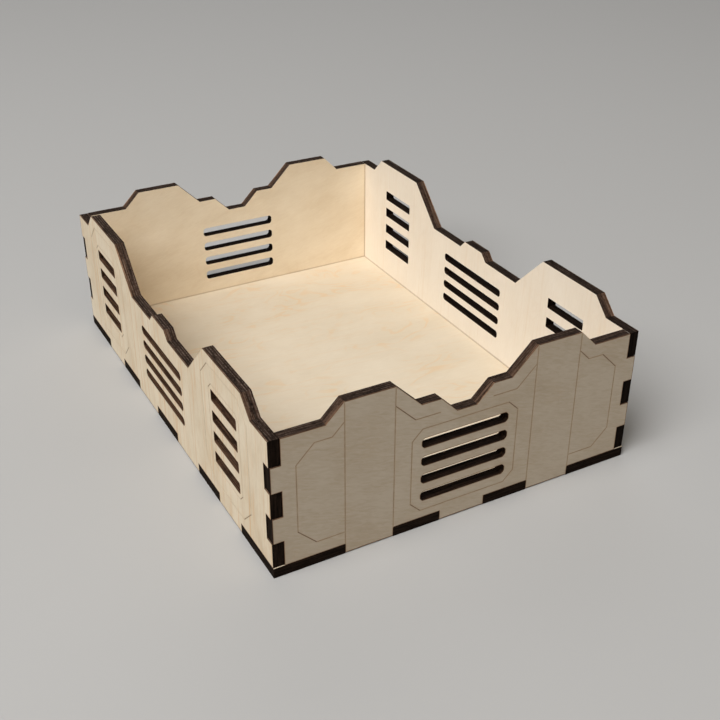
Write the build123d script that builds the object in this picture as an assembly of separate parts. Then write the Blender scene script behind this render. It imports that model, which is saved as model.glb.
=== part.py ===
from build123d import *
import os

# Open-top storage crate cut from thin plywood sheet: one floor and four walls, joined by fingers.
# Sizes are in millimetres. X runs along the short walls, Y along the long walls, and Z is up.
# The origin is the middle of the underside.

# Sheet, outside size and fit
sheet = 3.45                # thickness of the plywood
width = 125.0               # outside, across the short walls
length = 171.35             # outside, along the long walls
corner_height = 46.35       # from the table to the top of the corners
finger_recess = 0.3         # the fingers and tabs are cut a little shorter than the sheet is thick
fit_gap = 0.05              # left between pieces that interlock
corner_bands = 5            # fingers in each upright corner, counted on both walls together

# Levels of the walls' upper edge, taken from the corners
crest_rise = 5.65           # the crests stand above the corners
shelf_drop = 2.8            # the short walls' shelves lie below the corners
dip_drop = 8.4              # the dips lie below the corners

# Short walls: a stepped dip between two crested pillars
short_corner_flat = 17.05   # level stretch beside each corner
pillar_width = 15.85        # crest, pillar and the foot tab under it
short_dip_half = 3.45       # half of the dip's level bottom
middle_tab_width = 15.85

# Long walls: a wide dip with a low hump, between two crested bays
long_corner_flat = 11.65
bay_width = 27.55           # length of a crest
hump_rise = 2.8
hump_half = 5.4             # half of the hump's level top
bay_tab_width = 16.9
tab_spacing = 17.4          # between a bay's tab and the next tab inwards
middle_gap_half = 9.65      # half of the gap between the two inner tabs

# Vents, cut in stacks
short_vent_height = 3.4
short_vent_pitch = 6.3
short_vent_end = 6.1        # left between a stack and the levels above and below it
short_vent_side = 9.05      # from a vent's end to the pillar
short_vent_corner = 1.2     # radius at a vent's corners
middle_vent_height = 2.95
middle_vent_pitch = 5.65
middle_vent_end = 7.3
middle_vent_side = 8.45     # from a vent's end to the foot of a bay's slope
middle_vent_lift = 0.6      # the middle stack sits a little above its bay's centre
middle_vent_corner = 1.2
bay_vent_height = 3.75
bay_vent_pitch = 7.3
bay_vent_end = 11.45
bay_vent_side = 4.5         # from a vent's end to the crest's end
bay_vent_corner = 0.35
fullest_round = 0.45        # the largest corner radius, as a share of a vent's height

# Scored lines on the outer faces
score_width = 0.3
score_depth = 0.2
panel_margin = 4.45         # from the panel lines to the edges they follow
panel_chamfer = 5.65
short_frame_margin = 3.35   # from a vent stack to the line around it
short_frame_chamfer = 3.4
bay_frame_margin = 1.9
bay_frame_chamfer = 2.1
bay_panel_overhang = 3.0    # the bay's panel line is longer than the crest above it
bay_panel_inset = 3.55      # from the bay's panel line to the floor and the crest

# Levels and stations worked out from the sizes above
crest_z = corner_height + crest_rise
shelf_z = corner_height - shelf_drop
dip_z = corner_height - dip_drop
hump_z = dip_z + hump_rise
band_height = (corner_height - sheet) / corner_bands
half_width = width / 2
half_length = length / 2
pillar_outer = half_width - short_corner_flat - crest_rise
pillar_inner = pillar_outer - pillar_width
shelf_inner = short_dip_half + shelf_z - dip_z
bay_outer = half_length - long_corner_flat - crest_rise
bay_inner = bay_outer - bay_width
bay_centre = (bay_outer + bay_inner) / 2
long_dip_half = bay_inner - (crest_z - dip_z)
bay_tab_inner = bay_centre - bay_tab_width / 2
diagonal_margin = panel_margin * 2 ** 0.5

# Each wall's foot tabs on one side of its middle, as pairs of stations from the outside in
short_tabs = [(pillar_outer, pillar_inner)]
long_tabs = [
    (bay_tab_inner + bay_tab_width, bay_tab_inner),
    (bay_tab_inner - tab_spacing, middle_gap_half),
]


def mirrored(points):
    """The points, which run clockwise from the middle on the right, and their mirror image."""
    return points + [(-s, z) for s, z in reversed(points)]


def short_top():
    """Right half of a short wall's upper edge: dip, shelf, pillar and corner."""
    return [
        (short_dip_half, dip_z),
        (shelf_inner, shelf_z),
        (pillar_inner - (crest_z - shelf_z), shelf_z),
        (pillar_inner, crest_z),
        (pillar_outer, crest_z),
        (pillar_outer + crest_rise, corner_height),
    ]


def long_top():
    """Right half of a long wall's upper edge: hump, dip, bay and corner."""
    return [
        (hump_half, hump_z),
        (hump_half + hump_rise, dip_z),
        (long_dip_half, dip_z),
        (bay_inner, crest_z),
        (bay_outer, crest_z),
        (bay_outer + crest_rise, corner_height),
    ]


def end_edge(half, first_band):
    """Right end of a wall from top to bottom. The wall owns every second band from first_band."""
    finger_end = half - finger_recess
    notch_bottom = half - sheet - fit_gap
    points = []
    for band in range(corner_bands):
        owned = band % 2 == first_band
        station = finger_end if owned else notch_bottom
        top = corner_height - band * band_height
        bottom = top - band_height
        clearance = fit_gap / 2 if owned else -fit_gap / 2
        points.append((station, top if band == 0 else top - clearance))
        points.append((station, bottom if band == corner_bands - 1 else bottom + clearance))
    return points


def foot_edge(tabs, middle_tab_half):
    """Right half of a wall's lower edge: tabs that reach down into the floor's notches."""
    points = []
    for outer, inner in tabs:
        points += [
            (outer - fit_gap / 2, sheet),
            (outer - fit_gap / 2, finger_recess),
            (inner + fit_gap / 2, finger_recess),
            (inner + fit_gap / 2, sheet),
        ]
    if middle_tab_half:
        points += [
            (middle_tab_half - fit_gap / 2, sheet),
            (middle_tab_half - fit_gap / 2, finger_recess),
        ]
    return points


def vent_count(room, height, pitch):
    """How many vents of this height and pitch a bay has room for."""
    return max(1, round((room - height) / pitch) + 1)


def vent_stack(station, centre, size, pitch, count, corner):
    """A stack of level vents, as one sketch."""
    vent_length, height = size
    radius = min(corner, height * fullest_round)
    vent = RectangleRounded(vent_length, height, radius)
    spots = GridLocations(1, pitch, 1, count)
    return Sketch() + [Pos(station, centre) * spot * vent for spot in spots]


def stack_half(height, pitch, count):
    """Half of a vent stack's height."""
    return (height + pitch * (count - 1)) / 2


def octagon(station, centre, half_wide, half_high, chamfer):
    """Corners of a level rectangle with its corners cut at 45 degrees."""
    wide, high = half_wide - chamfer, half_high - chamfer
    return [
        (station + wide, centre + half_high),
        (station + half_wide, centre + high),
        (station + half_wide, centre - high),
        (station + wide, centre - half_high),
        (station - wide, centre - half_high),
        (station - half_wide, centre - high),
        (station - half_wide, centre + high),
        (station - wide, centre + half_high),
    ]


def closed_score(points):
    """A scored line along a closed outline."""
    face = make_face(Polyline(*points, close=True))
    outer = offset(face, score_width / 2, kind=Kind.INTERSECTION)
    inner = offset(face, -score_width / 2, kind=Kind.INTERSECTION)
    return outer - inner


def open_score(points):
    """A scored line along an open run of points."""
    return trace(Polyline(*points), score_width)


def short_vents():
    """The one stack of long vents in a short wall, and its half height."""
    room = dip_z - sheet - 2 * short_vent_end
    count = vent_count(room, short_vent_height, short_vent_pitch)
    size = (2 * (pillar_inner - short_vent_side), short_vent_height)
    centre = (sheet + dip_z) / 2
    stack = vent_stack(0, centre, size, short_vent_pitch, count, short_vent_corner)
    return stack, stack_half(short_vent_height, short_vent_pitch, count)


def middle_vents():
    """The stack of long vents in the middle of a long wall."""
    room = dip_z - sheet - 2 * middle_vent_end
    count = vent_count(room, middle_vent_height, middle_vent_pitch)
    size = (2 * (long_dip_half - middle_vent_side), middle_vent_height)
    centre = (sheet + dip_z) / 2 + middle_vent_lift
    return vent_stack(0, centre, size, middle_vent_pitch, count, middle_vent_corner)


def bay_vents(station):
    """The stack of short vents in a long wall's end bay, and its half height."""
    room = crest_z - sheet - 2 * bay_vent_end
    count = vent_count(room, bay_vent_height, bay_vent_pitch)
    size = (bay_width - 2 * bay_vent_side, bay_vent_height)
    centre = (sheet + crest_z) / 2
    stack = vent_stack(station, centre, size, bay_vent_pitch, count, bay_vent_corner)
    return stack, stack_half(bay_vent_height, bay_vent_pitch, count)


def end_panel(side):
    """Corners of the scored panel between a short wall's pillar and its corner."""
    start = crest_z - diagonal_margin
    top = corner_height - panel_margin
    bottom = sheet + panel_margin
    outer = half_width - sheet - panel_margin
    points = [
        (pillar_outer, start),
        (pillar_outer + start - top, top),
        (outer - panel_chamfer, top),
        (outer, top - panel_chamfer),
        (outer, bottom + panel_chamfer),
        (outer - panel_chamfer, bottom),
        (pillar_outer, bottom),
    ]
    return [(side * s, z) for s, z in points]


def shelf_line(side):
    """The scored line that follows a short wall's shelf and stops under its inner end."""
    start = crest_z - diagonal_margin
    level = shelf_z - panel_margin
    points = [
        (pillar_inner, start),
        (pillar_inner - (start - level), level),
        (shelf_inner, level),
    ]
    return [(side * s, z) for s, z in points]


def short_scores(stack_half_height):
    """All scored lines on a short wall."""
    frame = octagon(
        0,
        (sheet + dip_z) / 2,
        pillar_inner - short_vent_side + short_frame_margin,
        stack_half_height + short_frame_margin,
        short_frame_chamfer,
    )
    lines = closed_score(frame)
    for side in (1, -1):
        lines += closed_score(end_panel(side))
        lines += open_score(shelf_line(side))
        for edge in (pillar_inner, pillar_outer):
            lines += open_score([(side * edge, sheet), (side * edge, crest_z + score_width)])
    return lines


def bay_scores(station, stack_half_height):
    """The two scored outlines round a long wall's bay vents."""
    centre = (sheet + crest_z) / 2
    frame = octagon(
        station,
        centre,
        bay_width / 2 - bay_vent_side + bay_frame_margin,
        stack_half_height + bay_frame_margin,
        bay_frame_chamfer,
    )
    panel = octagon(
        station,
        centre,
        bay_width / 2 + bay_panel_overhang,
        (crest_z - sheet) / 2 - bay_panel_inset,
        panel_chamfer,
    )
    return closed_score(frame) + closed_score(panel)


def wall_solid(outline, vents, scores):
    """A wall drawn flat, its outer face up: the outline less its vents and its scored lines."""
    face = make_face(Polyline(*outline, close=True)) - vents
    return extrude(face, -sheet) - extrude(scores, -score_depth)


def short_wall():
    """A short wall. The long walls own the first band of each corner, so this one has the second."""
    vents, half_high = short_vents()
    right = short_top() + end_edge(half_width, 1) + foot_edge(short_tabs, middle_tab_width / 2)
    return wall_solid(mirrored(right), vents, short_scores(half_high))


def long_wall():
    """A long wall, with the first, third and fifth band of each corner."""
    vents = middle_vents()
    scores = Sketch()
    for station in (bay_centre, -bay_centre):
        stack, half_high = bay_vents(station)
        vents += stack
        scores += bay_scores(station, half_high)
    right = long_top() + end_edge(half_length, 0) + foot_edge(long_tabs, 0)
    return wall_solid(mirrored(right), vents, scores)


def notch(low, high, edge, along_x):
    """A notch in one edge of the floor that takes a wall's tab."""
    depth = sheet + fit_gap
    span = high - low + fit_gap
    middle = (low + high) / 2
    inset = abs(edge) - depth / 2
    across = inset if edge > 0 else -inset
    if along_x:
        return Pos(middle, across) * Rectangle(span, depth)
    return Pos(across, middle) * Rectangle(depth, span)


def floor_panel():
    """The floor, which keeps its square corners and takes every wall's tabs in its edges."""
    face = Rectangle(width, length)
    for edge in (half_length, -half_length):
        face -= notch(-middle_tab_width / 2, middle_tab_width / 2, edge, True)
        for outer, inner in short_tabs:
            face -= notch(inner, outer, edge, True)
            face -= notch(-outer, -inner, edge, True)
    for edge in (half_width, -half_width):
        for outer, inner in long_tabs:
            face -= notch(inner, outer, edge, False)
            face -= notch(-outer, -inner, edge, False)
    return extrude(face, sheet)


def stood_up(flat_wall, outward, along):
    """A wall drawn flat, stood on its foot with its outer face turned outward."""
    reach = half_width if abs(outward[0]) else half_length
    origin = (outward[0] * reach, outward[1] * reach, 0)
    return Plane(origin=origin, x_dir=along, z_dir=outward) * flat_wall


parts = {
    "floor_panel": floor_panel(),
    "front_wall": stood_up(short_wall(), (0, -1, 0), (1, 0, 0)),
    "back_wall": stood_up(short_wall(), (0, 1, 0), (-1, 0, 0)),
    "left_wall": stood_up(long_wall(), (-1, 0, 0), (0, -1, 0)),
    "right_wall": stood_up(long_wall(), (1, 0, 0), (0, 1, 0)),
}

os.makedirs("parts", exist_ok=True)
for node, shape in parts.items():
    export_step(shape, f"parts/{node}.step")
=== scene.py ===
"""Open-top storage crate of laser-cut birch plywood, dressed over its packed panels."""

import math

import bmesh
import bpy
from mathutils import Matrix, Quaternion, Vector


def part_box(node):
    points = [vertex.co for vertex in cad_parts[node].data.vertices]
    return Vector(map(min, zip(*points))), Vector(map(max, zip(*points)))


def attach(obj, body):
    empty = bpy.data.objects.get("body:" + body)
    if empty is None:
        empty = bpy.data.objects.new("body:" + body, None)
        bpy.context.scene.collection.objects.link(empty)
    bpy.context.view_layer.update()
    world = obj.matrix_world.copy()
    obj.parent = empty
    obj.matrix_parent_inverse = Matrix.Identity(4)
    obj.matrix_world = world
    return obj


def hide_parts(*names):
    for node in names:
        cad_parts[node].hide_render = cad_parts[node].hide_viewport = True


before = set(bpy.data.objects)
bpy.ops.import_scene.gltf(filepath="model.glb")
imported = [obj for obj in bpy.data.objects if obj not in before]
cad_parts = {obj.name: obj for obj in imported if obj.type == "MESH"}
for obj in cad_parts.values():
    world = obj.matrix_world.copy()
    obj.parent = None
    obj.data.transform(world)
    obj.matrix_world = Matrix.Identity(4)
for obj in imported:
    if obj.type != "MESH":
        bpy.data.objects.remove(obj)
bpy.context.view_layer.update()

MM = 0.001

# Colours in linear light
# Painted shade: the front wall's outer veneer is darker than the side veneer, as that face is turned
# from the key light.
FRONT_VENEER_PAINTED_SHADE = (0.552, 0.468, 0.36)
SIDE_VENEER = (0.81, 0.695, 0.525)
# Painted shade: the inner face of the crate's floor is darker than the side veneer, to offset the
# strong light from above.
FLOOR_VENEER_PAINTED_SHADE = (0.718, 0.63, 0.495)
# Painted light: the inner veneer of the front, back and left walls is warmer and brighter than the side
# veneer, standing in for light bounced inside the crate.
VENEER_PAINTED_BOUNCE_LIGHT = (1.0, 0.88, 0.69)
# Painted highlight: the right wall's inner veneer is paler and greyer than the side veneer, as its
# brightly lit face washes out.
VENEER_PAINTED_HIGHLIGHT = (0.93, 0.855, 0.745)
DARK_FIGURE = (0.8, 0.74, 0.66)     # the veneer's darkest figure, as a share of its own colour
SEAM_SHADE = (0.55, 0.47, 0.4)      # painted shade along the joints inside, with some brown of the joint, as a share of the veneer's own colour
TAN_STRIPE = (0.7, 0.49, 0.28)
SMOKE_STAIN = (0.5, 0.29, 0.135)
SCORCHED = (0.165, 0.074, 0.034)
SCORE_TAN = (0.37, 0.262, 0.16)
SCORE_BROWN = (0.165, 0.1, 0.058)
CHAR = (0.0165, 0.0098, 0.0065)     # cut edges that stand upright or face down
SLANTED_CHAR = (0.061, 0.0365, 0.0255)
LEVEL_CHAR = (0.04, 0.025, 0.018)
# Painted shade over the char on the cut faces inside the vent holes, scaled for each panel by how lit
# they are.
VENT_CHAR_AND_SHADE = (0.027, 0.014, 0.0082)
SINGED_RIM = (0.28, 0.158, 0.095)
ASHY_LINE = (0.15, 0.112, 0.09)
PALE_GREY = (0.46, 0.455, 0.445)
WHITE = (1.0, 1.0, 1.0)
WARM_WHITE = (1.0, 0.88, 0.74)

# Each panel, in the order of its rows:
# - the axis across its sheet, the axis of its grain, the side of its outer face, and the axis and
#   sense that run to the right when the outer face is looked at
# - how pale its charred edges are, how much of the ashy lines they show, and how pale the cut
#   faces inside its vent holes are, as painted shade in the shade and painted light in the key light
# - the veneer on its outer and inner face, with the painted shade and light that some of them hold,
#   and a seed for the figure
# - how many degrees the figure is turned from the grain's axis, how much of each kind shows, and
#   what share of that shows on the inner face
PANELS = {
    "floor_panel": {
        "normal": "Z", "grain": "X", "outer": "low", "right": ("X", -1),
        "char": 1.0, "ash": 0.5, "vents": 1.0,
        "veneers_and_light": (SIDE_VENEER, FLOOR_VENEER_PAINTED_SHADE), "seed": 3.1,
        "tilt": 4, "streaks": 0.45, "mottle": 0.90, "rings": 0.54, "stripes": 0.15, "inner": 1.0,
    },
    "front_wall": {
        "normal": "Y", "grain": "X", "outer": "low", "right": ("X", 1),
        "char": 0.95, "ash": 0.4, "vents": 0.7,
        "veneers_and_light": (FRONT_VENEER_PAINTED_SHADE, VENEER_PAINTED_BOUNCE_LIGHT), "seed": 7.4,
        "tilt": 17, "streaks": 1.6, "mottle": 1.7, "rings": 0.05, "stripes": 0.0, "inner": 0.6,
    },
    "back_wall": {
        "normal": "Y", "grain": "X", "outer": "high", "right": ("X", -1),
        "char": 0.8, "ash": 0.5, "vents": 0.7,
        "veneers_and_light": (SIDE_VENEER, VENEER_PAINTED_BOUNCE_LIGHT), "seed": 12.9,
        "tilt": -16, "streaks": 0.6, "mottle": 1.3, "rings": 0.05, "stripes": 0.0, "inner": 1.0,
    },
    "left_wall": {
        "normal": "X", "grain": "Z", "outer": "low", "right": ("Y", -1),
        "char": 1.0, "ash": 0.8, "vents": 3.0,
        "veneers_and_light": (SIDE_VENEER, VENEER_PAINTED_BOUNCE_LIGHT), "seed": 18.2,
        "tilt": 2, "streaks": 1.1, "mottle": 1.7, "rings": 0.15, "stripes": 1.05, "inner": 0.45,
    },
    "right_wall": {
        "normal": "X", "grain": "Z", "outer": "high", "right": ("Y", 1),
        "char": 0.60, "ash": 0.5, "vents": 1.0,
        "veneers_and_light": (SIDE_VENEER, VENEER_PAINTED_HIGHLIGHT), "seed": 25.7,
        "tilt": 2, "streaks": 1.0, "mottle": 1.4, "rings": 0.12, "stripes": 0.50, "inner": 0.35,
    },
}

# The noises in the wood: features per millimetre along the grain, across it and through the sheet,
# and how fine, rough and warped each noise is. Its place in the list is added to the panel's seed.
NOISES = {
    "mottle": {"scale": (0.045, 0.075, 1.1), "detail": 3.0, "roughness": 0.55, "warp": 0.4},
    "hills": {"scale": (0.026, 0.055, 0.9), "detail": 2.5, "roughness": 0.55, "warp": 1.0},
    "streaks": {"scale": (0.24, 1.15, 1.3), "detail": 3.5, "roughness": 0.55, "warp": 1.1},
    "stripes": {"scale": (0.022, 0.80, 0.8), "detail": 3.0, "roughness": 0.55, "warp": 0.8},
    "flecks": {"scale": (0.9, 5.0, 1.7), "detail": 2.0, "roughness": 0.55, "warp": 0.0},
    "smoke": {"scale": (0.6, 0.6, 0.6), "detail": 2.0, "roughness": 0.55, "warp": 0.0},
    "fibres": {"scale": (0.35, 7.0, 1.0), "detail": 3.0, "roughness": 0.55, "warp": 0.0},
    "ply_wander": {"scale": (0.05, 0.05, 0.0), "detail": 2.0, "roughness": 0.55, "warp": 0.0},
    "plies": {"scale": (0.12, 0.12, 3.2), "detail": 3.0, "roughness": 0.6, "warp": 0.0},
    "grit": {"scale": (1.4, 1.4, 1.2), "detail": 3.0, "roughness": 0.6, "warp": 0.0},
    "soot": {"scale": (0.7, 0.7, 0.7), "detail": 3.0, "roughness": 0.55, "warp": 0.0},
}
NOISE_MEAN = 0.5

# Most pairs below are ramps: an effect starts at the first value and is full at the second.

# The veneer's figure
RING_TURNS = 74.0           # radians of the rings' wave for each unit of the hills that they follow
RING_WAVER = 1.6            # radians that the streaks push the rings aside
RING_LINES = (0.35, 1.0)
RING_PATCHES = (0.43, 0.64)
STRIPE_LINES = (0.52, 0.69)
FLECK_SPOTS = (0.60, 0.80)
FLECK_TONE = 0.10
BASE_TONE = 0.30

# The veneer's painted shade along the joints, and the veneer beside the cuts
SEAM_REACH = (0.60, 0.05)   # millimetres from the joint
SEAM_STRENGTH = 0.62
SMOKE_FADE = 1.8            # the higher, the sooner the smoke's stain fades away from the cut
SMOKE_STRENGTH = 1.15
SCORCH_HEAT = (0.66, 0.92)
SCORCH_BREAKUP = 0.16

# The veneer's surface
FIBRE_ROUGHNESS = 0.07
VENEER_ROUGHNESS = 0.562
PORE_DEPTH = 0.5            # as a share of the fibres' relief
VENEER_BUMP = (0.1, 0.1 * MM)       # strength and depth
VENEER_GLOSS = 0.3

# Cut edges, by how far their normals point upward
FACING_UP = (0.2, 0.65)
LEVEL = (0.75, 0.95)

# The ashy lines between the plies, along a cut edge
PLY_LINES = 4
PLY_OFFSET = 0.5            # millimetres
PLY_WANDER = 0.5            # millimetres
PLY_CRESTS = (0.50, 1.0)
ASHY_GRIT = (0.38, 0.58)

# The brown of a cut edge beside the panel's outer face, by depth in millimetres
RIM_DEPTH = (0.60, 0.10)
RIM_BROWN = 0.35
SLANTING_RIM_BROWN = 0.50
OUTER_HALF_DEPTH = (1.9, 1.3)
OUTER_HALF_BROWN = 0.13

# The light and dark of the plies on a cut edge, and its surface
PLY_BANDS = (0.42, 0.62)
DARK_PLY = 0.42
PLY_CONTRAST = 0.90
GRIT_CONTRAST = 1.2
VENT_COVER = 0.8            # how far the vent holes' char and painted shade cover an edge's colour
GRIT_DEPTH = 0.5            # as a share of the plies' relief
GRIT_ROUGHNESS = 0.25
EDGE_ROUGHNESS = 0.62
EDGE_BUMP = (0.35, 0.2 * MM)
EDGE_GLOSS = 0.03

# How dark the laser left its scored lines, by their slope when the wall is looked at, and the
# mark for the cut faces inside the vent holes, which get their char and painted shade
SHORT_WALL_BURN = {"falling": 0.85, "straight": 0.43, "rising": 0.50}
LONG_WALL_BURN = {"falling": 0.20, "straight": 0.20, "rising": 0.50}
VENT_SHADE_MARK = 1.0
TAN_BURN = (0.0, 0.45)
BROWN_BURN = (0.40, 1.0)
SCORE_ROUGHNESS = 0.7
SCORE_SHOWN = 0.05 * MM     # the lines are shallow, so that their colour shows and not their shadow

# How far the laser's heat marks the veneer beside a cut, and how much it does beside each kind
SCORCH_REACH = 0.5 * MM
SCORE_HEAT = 0.5
INNER_HEAT = 0.2
SLANTING_HEAT = 0.76
EDGE_HEAT = 1.0

# What counts as flat, level or in line when a panel's faces are sorted
WELD = 0.001 * MM
FLATNESS = 0.01 * MM
FACE_NORMAL = 0.9           # how far a face must point along the panel's normal to be flat in it
ONE_PLANE = 0.999
STRAIGHT_SLOPE = 0.5        # a line that strays by a smaller share of its run is level or upright
SLANTING_NORMAL = (0.3, 0.9)

VENEER, EDGE, SCORE = range(3)

FLOOR_HALF = 2.5            # half of its side, in metres
FLOOR_DROP = 0.05 * MM      # keeps the floor's surface off the crate's underside
FLOOR_ROUGHNESS = 0.9
FLOOR_GLOSS = 0.2

# A large soft light from the left, and weak ones from the front and behind. Directions are in
# degrees, with azimuth 0 in front of the crate, distances and sizes in metres, power in watts.
LIGHTS = {
    "key": {
        "azimuth": -68, "elevation": 55, "distance": 2.0,
        "size": (1.1, 1.6), "power": 46.0, "colour": WHITE,
    },
    "fill": {
        "azimuth": -10, "elevation": 55, "distance": 2.2,
        "size": (1.8, 1.2), "power": 7.0, "colour": WARM_WHITE,
    },
    "rim": {
        "azimuth": 151, "elevation": 32, "distance": 2.0,
        "size": (1.4, 1.0), "power": 5.5, "colour": WHITE,
    },
}
LIGHT_TARGET = Vector((0, 0, 0.02))
SURROUND_STRENGTH = 0.04

CAMERA_AZIMUTH = -28.722        # degrees, as the lights' are
CAMERA_ELEVATION = 30.496
CAMERA_ROLL = 0.144
CAMERA_DISTANCE = 359.66 * MM
CAMERA_TARGET = Vector((-3.864, -28.542, 25.183)) * MM
CAMERA_CLIP = 10 * MM
SENSOR_WIDTH = 36.0             # millimetres
FOCAL_LENGTH_PX = 1086.6        # in the photo's pixels
PHOTO_WIDTH_PX = 720


def node(tree, kind, inputs=None, **settings):
    """Adds a shader node, sets its properties, and sets or links its inputs."""
    made = tree.nodes.new("ShaderNode" + kind)
    for name, value in settings.items():
        setattr(made, name, value)
    for key, value in (inputs or {}).items():
        if isinstance(value, bpy.types.NodeSocket):
            tree.links.new(value, made.inputs[key])
        else:
            made.inputs[key].default_value = value
    return made


def calc(tree, operation, a, b=0.0, c=0.0, clamp=False):
    """The result of one Math node."""
    return node(tree, "Math", {0: a, 1: b, 2: c}, operation=operation, use_clamp=clamp).outputs[0]


def product(tree, first, *others):
    """The product of several values."""
    for other in others:
        first = calc(tree, "MULTIPLY", first, other)
    return first


def plus(tree, base, value, factor, clamp=False):
    """The base plus a value times a factor."""
    return calc(tree, "MULTIPLY_ADD", value, factor, base, clamp)


def centred(tree, value):
    """A noise value less its mean."""
    return calc(tree, "SUBTRACT", value, NOISE_MEAN)


def scaled(tree, vector, scales):
    """A vector with each of its parts scaled."""
    return node(tree, "VectorMath", {0: vector, 1: scales}, operation="MULTIPLY").outputs[0]


def between(tree, value, low, high, smooth=True):
    """0 where the value is at or short of low, 1 at or past high, and a ramp between them."""
    inputs = {"Value": value, "From Min": low, "From Max": high}
    kind = "SMOOTHSTEP" if smooth else "LINEAR"
    return node(tree, "MapRange", inputs, interpolation_type=kind).outputs["Result"]


def blend(tree, factor, a, b, mode="MIX"):
    """A mix of two colours."""
    made = node(tree, "Mix", data_type="RGBA", blend_type=mode, clamp_factor=True)
    sockets = {0: factor, 6: a, 7: b}
    for index, value in sockets.items():
        if isinstance(value, bpy.types.NodeSocket):
            tree.links.new(value, made.inputs[index])
        elif index == 0:
            made.inputs[index].default_value = value
        else:
            made.inputs[index].default_value = (*value, 1.0)
    return made.outputs[2]


def attribute(tree, name):
    """What the mesh holds under a name."""
    return node(tree, "Attribute", attribute_name=name).outputs["Fac"]


def noise(tree, panel, place, kind):
    """One of the wood's noises at a place in a panel's sheet, from 0 to 1."""
    facts = NOISES[kind]
    inputs = {
        "Vector": scaled(tree, place, facts["scale"]),
        "W": panel["seed"] + list(NOISES).index(kind),
        "Scale": 1.0,
        "Detail": facts["detail"],
        "Roughness": facts["roughness"],
        "Distortion": facts["warp"],
    }
    return node(tree, "TexNoise", inputs, noise_dimensions="4D").outputs["Fac"]


def new_material(name):
    """A material with only its output and its surface shader, and its tree."""
    material = bpy.data.materials.new(name)
    material.use_nodes = True
    tree = material.node_tree
    tree.nodes.clear()
    shader = node(tree, "BsdfPrincipled")
    node(tree, "OutputMaterial", {"Surface": shader.outputs[0]})
    return material, tree, shader


def set_surface(tree, shader, colour, roughness, height, bump, gloss):
    """Gives a shader its colour, roughness, relief and gloss."""
    strength, distance = bump
    relief = node(tree, "Bump", {"Height": height, "Strength": strength, "Distance": distance})
    tree.links.new(colour, shader.inputs["Base Color"])
    tree.links.new(roughness, shader.inputs["Roughness"])
    tree.links.new(relief.outputs["Normal"], shader.inputs["Normal"])
    shader.inputs["Specular IOR Level"].default_value = gloss


def sheet_depths(name, panel):
    """Where the panel's outer and inner faces lie along its normal."""
    low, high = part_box(name)
    index = "XYZ".index(panel["normal"])
    if panel["outer"] == "low":
        return low[index], high[index]
    return high[index], low[index]


def sheet_thickness(name, panel):
    """The sheet's thickness in millimetres."""
    outer, inner = sheet_depths(name, panel)
    return abs(inner - outer) / MM


def millimetres(tree):
    """The crate's own coordinates in millimetres, by axis."""
    coordinates = node(tree, "TexCoord").outputs["Object"]
    in_millimetres = scaled(tree, coordinates, (1 / MM,) * 3)
    return dict(zip("XYZ", node(tree, "SeparateXYZ", {0: in_millimetres}).outputs))


def distance_to(tree, coordinate, plane):
    """Millimetres from a coordinate in millimetres to a plane in metres."""
    return calc(tree, "ABSOLUTE", calc(tree, "SUBTRACT", coordinate, plane / MM))


def place_in_sheet(tree, name, panel):
    """Millimetres along the grain, across it, and down from the panel's outer face."""
    axes = millimetres(tree)
    cross = next(axis for axis in "XYZ" if axis not in (panel["normal"], panel["grain"]))
    outer, _ = sheet_depths(name, panel)
    depth = distance_to(tree, axes[panel["normal"]], outer)
    parts = {0: axes[panel["grain"]], 1: axes[cross], 2: depth}
    return node(tree, "CombineXYZ", parts).outputs[0], depth


def seam_distance(tree, panel):
    """Millimetres to the nearest of the panels that meet this one, along its inner face."""
    axes = millimetres(tree)
    nearest = None
    for name, other in PANELS.items():
        if other["normal"] != panel["normal"]:
            _, inner = sheet_depths(name, other)
            distance = distance_to(tree, axes[other["normal"]], inner)
            nearest = distance if nearest is None else calc(tree, "MINIMUM", nearest, distance)
    return nearest


def veneer_figure(tree, panel, place, inner_side):
    """How dark the veneer is from 0 to 1, how much it is striped with tan, and its pore flecks."""
    share = plus(tree, 1.0, inner_side, panel["inner"] - 1)
    turn = {"Vector": place, "Angle": math.radians(panel["tilt"])}
    place = node(tree, "VectorRotate", turn, rotation_type="Z_AXIS").outputs[0]
    mottle = noise(tree, panel, place, "mottle")
    streaks = noise(tree, panel, place, "streaks")
    hills = noise(tree, panel, place, "hills")
    phase = plus(tree, product(tree, streaks, RING_WAVER), hills, RING_TURNS)
    rings = between(tree, calc(tree, "SINE", phase), *RING_LINES)
    rings = product(tree, rings, between(tree, mottle, *RING_PATCHES))
    flecks = between(tree, noise(tree, panel, place, "flecks"), *FLECK_SPOTS)
    tone = product(tree, centred(tree, streaks), panel["streaks"])
    tone = plus(tree, tone, centred(tree, mottle), panel["mottle"])
    tone = plus(tree, BASE_TONE, tone, share)
    tone = plus(tree, tone, flecks, FLECK_TONE, clamp=True)
    stripes = between(tree, noise(tree, panel, place, "stripes"), *STRIPE_LINES)
    stripes = product(tree, stripes, panel["stripes"])
    stripes = product(tree, share, plus(tree, stripes, rings, panel["rings"]))
    return tone, stripes, flecks


def heat_marked(tree, panel, place, colour):
    """The veneer's colour with the brown that the laser's smoke and heat left beside the cuts."""
    heat = attribute(tree, "laser_heat")
    breakup = noise(tree, panel, place, "smoke")
    smoke = calc(tree, "POWER", heat, SMOKE_FADE)
    smoke = product(tree, smoke, product(tree, breakup, SMOKE_STRENGTH))
    colour = blend(tree, smoke, colour, SMOKE_STAIN)
    scorch = between(tree, plus(tree, heat, breakup, SCORCH_BREAKUP), *SCORCH_HEAT)
    return blend(tree, scorch, colour, SCORCHED)


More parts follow.
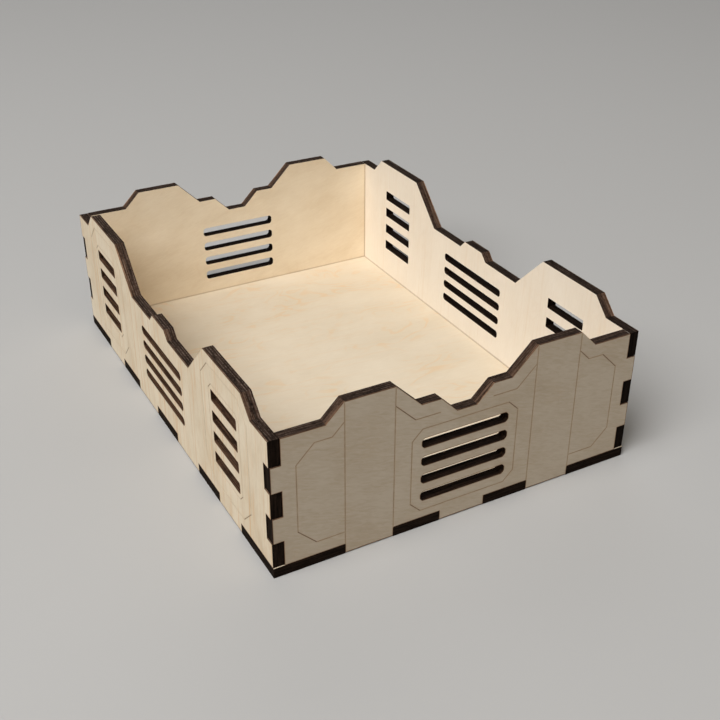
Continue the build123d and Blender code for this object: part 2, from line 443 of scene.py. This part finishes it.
def veneer_material(name, panel):
    """Sanded birch veneer with its figure, and the brown marks beside the cuts."""
    material, tree, shader = new_material("veneer_" + name)
    place, depth = place_in_sheet(tree, name, panel)
    outer_veneer_and_light, inner_veneer_and_light = panel["veneers_and_light"]
    inner_side = calc(tree, "GREATER_THAN", depth, sheet_thickness(name, panel) / 2)
    tone, stripes, flecks = veneer_figure(tree, panel, place, inner_side)
    veneer = blend(tree, inner_side, outer_veneer_and_light, inner_veneer_and_light)
    figured = blend(tree, 1.0, veneer, DARK_FIGURE, "MULTIPLY")
    colour = blend(tree, tone, veneer, figured)
    colour = blend(tree, stripes, colour, TAN_STRIPE)
    # Painted shade where the walls and floor meet inside, with some brown of the joint itself.
    joint_shade = between(tree, seam_distance(tree, panel), *SEAM_REACH)
    joint_shade = product(tree, joint_shade, inner_side, SEAM_STRENGTH)
    colour = blend(tree, joint_shade, colour, SEAM_SHADE, "MULTIPLY")
    colour = heat_marked(tree, panel, place, colour)
    fibres = noise(tree, panel, place, "fibres")
    roughness = plus(tree, VENEER_ROUGHNESS, fibres, FIBRE_ROUGHNESS)
    height = plus(tree, fibres, flecks, -PORE_DEPTH)
    set_surface(tree, shader, colour, roughness, height, VENEER_BUMP, VENEER_GLOSS)
    return material


def ashy_lines(tree, name, panel, place, depth, grit):
    """How much ash shows on the lines between the plies, from 0 to 1."""
    wander = noise(tree, panel, place, "ply_wander")
    layer = plus(tree, calc(tree, "SUBTRACT", depth, PLY_OFFSET), wander, PLY_WANDER)
    turns = 2 * math.pi * PLY_LINES / sheet_thickness(name, panel)
    wave = calc(tree, "COSINE", product(tree, layer, turns))
    return product(tree, between(tree, wave, *PLY_CRESTS), between(tree, grit, *ASHY_GRIT))


def singed(tree, depth, facing_up, slanting):
    """How brown a cut edge is beside the panel's outer face, from 0 to 1."""
    rim = between(tree, depth, *RIM_DEPTH)
    outer_half = product(tree, between(tree, depth, *OUTER_HALF_DEPTH), OUTER_HALF_BROWN)
    on_slants = product(tree, slanting, plus(tree, outer_half, rim, SLANTING_RIM_BROWN))
    return plus(tree, on_slants, product(tree, rim, RIM_BROWN), facing_up)


def edge_shade(tree, panel, slanting, plies, grit):
    """The light and dark of a cut edge's plies and grit, as a grey."""
    shade = plus(tree, DARK_PLY, between(tree, plies, *PLY_BANDS), PLY_CONTRAST)
    shade = plus(tree, shade, centred(tree, grit), GRIT_CONTRAST)
    shade = product(tree, shade, plus(tree, panel["char"], slanting, 1 - panel["char"]))
    return node(tree, "CombineColor", {0: shade, 1: shade, 2: shade}).outputs[0]


def edge_material(name, panel):
    """A laser-cut edge, charred through its plies, browner on slanting cuts and at the outer face."""
    material, tree, shader = new_material("burnt_edge_" + name)
    place, depth = place_in_sheet(tree, name, panel)
    normal = node(tree, "NewGeometry").outputs["Normal"]
    upward = node(tree, "SeparateXYZ", {0: normal}).outputs["Z"]
    facing_up = between(tree, upward, *FACING_UP)
    level = between(tree, upward, *LEVEL)
    slanting = calc(tree, "SUBTRACT", facing_up, level)
    plies = noise(tree, panel, place, "plies")
    grit = noise(tree, panel, place, "grit")
    colour = blend(tree, facing_up, CHAR, SLANTED_CHAR)
    colour = blend(tree, level, colour, LEVEL_CHAR)
    ash = ashy_lines(tree, name, panel, place, depth, grit)
    colour = blend(tree, product(tree, ash, facing_up, panel["ash"]), colour, ASHY_LINE)
    colour = blend(tree, singed(tree, depth, facing_up, slanting), colour, SINGED_RIM)
    # The cut faces inside the vent holes take a painted shade over their char, darker on panels whose
    # vent holes lie in shade and paler where the key light reaches them.
    vent_shade_share = product(tree, attribute(tree, "burn"), VENT_COVER)
    shaded_vent_colour = tuple(channel * panel["vents"] for channel in VENT_CHAR_AND_SHADE)
    colour = blend(tree, vent_shade_share, colour, shaded_vent_colour)
    colour = blend(tree, 1.0, colour, edge_shade(tree, panel, slanting, plies, grit), "MULTIPLY")
    roughness = plus(tree, EDGE_ROUGHNESS, grit, GRIT_ROUGHNESS)
    height = plus(tree, plies, grit, GRIT_DEPTH)
    set_surface(tree, shader, colour, roughness, height, EDGE_BUMP, EDGE_GLOSS)
    return material


def score_material(name, panel):
    """A line that the laser scored into the veneer, browner where it burnt deeper."""
    material, tree, shader = new_material("scored_line_" + name)
    place, _ = place_in_sheet(tree, name, panel)
    soot = calc(tree, "ADD", noise(tree, panel, place, "soot"), NOISE_MEAN)
    burn = calc(tree, "MULTIPLY", attribute(tree, "burn"), soot, clamp=True)
    outer_veneer_and_light, _ = panel["veneers_and_light"]
    colour = blend(tree, between(tree, burn, *TAN_BURN, smooth=False), outer_veneer_and_light, SCORE_TAN)
    colour = blend(tree, between(tree, burn, *BROWN_BURN, smooth=False), colour, SCORE_BROWN)
    tree.links.new(colour, shader.inputs["Base Color"])
    shader.inputs["Roughness"].default_value = SCORE_ROUGHNESS
    return material


def continues_cut(face):
    """Whether a face lies in one plane with a cut edge beside it."""
    beside = {other for edge in face.edges for other in edge.link_faces}
    cuts = [other for other in beside if other.material_index == EDGE]
    return any(cut.normal.dot(face.normal) > ONE_PLANE for cut in cuts)


def sort_faces(mesh, name, panel):
    """Gives each face its material: the veneer, a cut edge or a scored line."""
    index = "XYZ".index(panel["normal"])
    outer_depth, inner_depth = sheet_depths(name, panel)
    for face in mesh.faces:
        places = [vertex.co[index] for vertex in face.verts]
        flat = abs(face.normal[index]) > FACE_NORMAL
        reaches_inner = any(abs(place - inner_depth) < FLATNESS for place in places)
        reaches_outer = any(abs(place - outer_depth) < FLATNESS for place in places)
        if flat and (reaches_inner or reaches_outer):
            face.material_index = VENEER
        elif reaches_inner:
            face.material_index = EDGE
        else:
            face.material_index = SCORE
    strays = True
    while strays:
        strays = [face for face in mesh.faces if face.material_index == SCORE and continues_cut(face)]
        for face in strays:
            face.material_index = EDGE


def slope_to_right(face, panel):
    """Whether a scored face's line rises or falls to the right, or is level or upright."""
    axis, sense = panel["right"]
    longest = max(face.edges, key=lambda edge: edge.calc_length())
    run = longest.verts[1].co - longest.verts[0].co
    right, up = run["XYZ".index(axis)] * sense, run.z
    if min(abs(right), abs(up)) < STRAIGHT_SLOPE * max(abs(right), abs(up)):
        return "straight"
    return "rising" if right * up > 0 else "falling"


def vent_faces(mesh):
    """The cut faces of all closed outlines but the longest, which is the panel's own."""
    left = {face for face in mesh.faces if face.material_index == EDGE}
    outlines = []
    while left:
        outline = [left.pop()]
        for face in outline:
            beside = {other for edge in face.edges for other in edge.link_faces} & left
            left -= beside
            outline.extend(beside)
        outlines.append(outline)
    outlines.sort(key=lambda outline: sum(face.calc_area() for face in outline))
    return [face for outline in outlines[:-1] for face in outline]


def mark_scores(mesh, name, panel):
    """Makes the scored lines shallow, writes how dark the laser burnt them, and marks the vent holes'
    cut faces for their char and painted shade.
    """
    burn = mesh.loops.layers.float.new("burn")
    index = "XYZ".index(panel["normal"])
    outer_depth, inner_depth = sheet_depths(name, panel)
    bottom = outer_depth + math.copysign(SCORE_SHOWN, inner_depth - outer_depth)
    scored = [face for face in mesh.faces if face.material_index == SCORE]
    burns = SHORT_WALL_BURN if panel["normal"] == "Y" else LONG_WALL_BURN
    for face in scored:
        for loop in face.loops:
            loop[burn] = burns[slope_to_right(face, panel)]
    for face in vent_faces(mesh):
        for loop in face.loops:
            loop[burn] = VENT_SHADE_MARK
    for vertex in {vertex for face in scored for vertex in face.verts}:
        if abs(vertex.co[index] - outer_depth) > FLATNESS:
            vertex.co[index] = bottom


def heat_beside(face, on_outer_face):
    """How much heat the veneer had beside a face of a cut or of a scored line."""
    if face.material_index == SCORE:
        return SCORE_HEAT
    if not on_outer_face:
        return INNER_HEAT
    low, high = SLANTING_NORMAL
    return SLANTING_HEAT if low < abs(face.normal.z) < high else EDGE_HEAT


def mark_heat(mesh, name, panel):
    """Insets the veneer from its cuts, and writes how much heat each corner of its faces has had."""
    heat = mesh.loops.layers.float.new("laser_heat")
    veneer = [face for face in mesh.faces if face.material_index == VENEER]
    bmesh.ops.inset_region(
        mesh,
        faces=veneer,
        thickness=SCORCH_REACH,
        use_even_offset=True,
        use_boundary=True,
    )
    index = "XYZ".index(panel["normal"])
    outer_depth, _ = sheet_depths(name, panel)
    for loop in [loop for face in mesh.faces if face.material_index == VENEER for loop in face.loops]:
        beside = loop.link_loop_radial_next.face
        if beside.material_index == VENEER:
            continue
        on_outer_face = abs(loop.vert.co[index] - outer_depth) < FLATNESS
        warmth = heat_beside(beside, on_outer_face)
        for corner in (loop, loop.link_loop_next):
            corner[heat] = max(corner[heat], warmth)


def add_object(name, data):
    """Puts new data in the scene as an object."""
    made = bpy.data.objects.new(name, data)
    bpy.context.scene.collection.objects.link(made)
    return made


def dressed_panel(name, panel):
    """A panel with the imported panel's shape, and a ring beside each cut for the marks of the heat."""
    mesh = bmesh.new()
    mesh.from_mesh(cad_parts[name].data)
    bmesh.ops.remove_doubles(mesh, verts=mesh.verts, dist=WELD)
    mesh.normal_update()
    sort_faces(mesh, name, panel)
    mark_scores(mesh, name, panel)
    mark_heat(mesh, name, panel)
    data = bpy.data.meshes.new(name + "_dressed")
    mesh.to_mesh(data)
    mesh.free()
    for polygon in data.polygons:
        polygon.use_smooth = False
    for make in (veneer_material, edge_material, score_material):
        data.materials.append(make(name, panel))
    piece = add_object(name + "_dressed", data)
    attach(piece, "root")
    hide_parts(name)


def make_floor():
    """A plain pale surface under the crate."""
    data = bpy.data.meshes.new("pale_floor")
    corners = [(-1, -1), (1, -1), (1, 1), (-1, 1)]
    places = [(x * FLOOR_HALF, y * FLOOR_HALF, -FLOOR_DROP) for x, y in corners]
    data.from_pydata(places, [], [(0, 1, 2, 3)])
    floor = add_object("pale_floor", data)
    material, _, shader = new_material("pale_floor")
    shader.inputs["Base Color"].default_value = (*PALE_GREY, 1.0)
    shader.inputs["Roughness"].default_value = FLOOR_ROUGHNESS
    shader.inputs["Specular IOR Level"].default_value = FLOOR_GLOSS
    data.materials.append(material)


def outward(azimuth, elevation):
    """The direction that runs from the crate to a place round it, from angles in degrees."""
    a, e = math.radians(azimuth), math.radians(elevation)
    return Vector((math.sin(a) * math.cos(e), -math.cos(a) * math.cos(e), math.sin(e)))


def make_light(name, azimuth, elevation, distance, size, power, colour):
    """A soft light at its place round the crate, aimed at the crate."""
    data = bpy.data.lights.new(name, "AREA")
    data.shape = "RECTANGLE"
    data.size, data.size_y = size
    data.energy = power
    data.color = colour
    direction = outward(azimuth, elevation)
    light = add_object(name, data)
    light.location = direction * distance + LIGHT_TARGET
    light.rotation_mode = "QUATERNION"
    light.rotation_quaternion = direction.to_track_quat("Z", "Y")


def make_surround():
    """A dim even light from all round, and plain colours in the picture."""
    world = bpy.data.worlds.new("surround")
    world.use_nodes = True
    background = world.node_tree.nodes["Background"]
    background.inputs["Color"].default_value = (*WHITE, 1.0)
    background.inputs["Strength"].default_value = SURROUND_STRENGTH
    bpy.context.scene.world = world
    bpy.context.scene.view_settings.view_transform = "Standard"


def make_camera():
    """The camera that took the photo, worked out from the crate's straight edges."""
    data = bpy.data.cameras.new("camera")
    data.sensor_width = SENSOR_WIDTH
    data.lens = FOCAL_LENGTH_PX / PHOTO_WIDTH_PX * data.sensor_width
    data.clip_start = CAMERA_CLIP
    back = outward(CAMERA_AZIMUTH, CAMERA_ELEVATION)
    roll = Quaternion((0, 0, 1), math.radians(CAMERA_ROLL))
    camera = add_object("camera", data)
    camera.location = CAMERA_TARGET + back * CAMERA_DISTANCE
    camera.rotation_mode = "QUATERNION"
    camera.rotation_quaternion = (-back).to_track_quat("-Z", "Y") @ roll
    bpy.context.scene.camera = camera


for panel_name, panel_facts in PANELS.items():
    dressed_panel(panel_name, panel_facts)
make_floor()
for light_name, light_facts in LIGHTS.items():
    make_light(light_name, **light_facts)
make_surround()
make_camera()
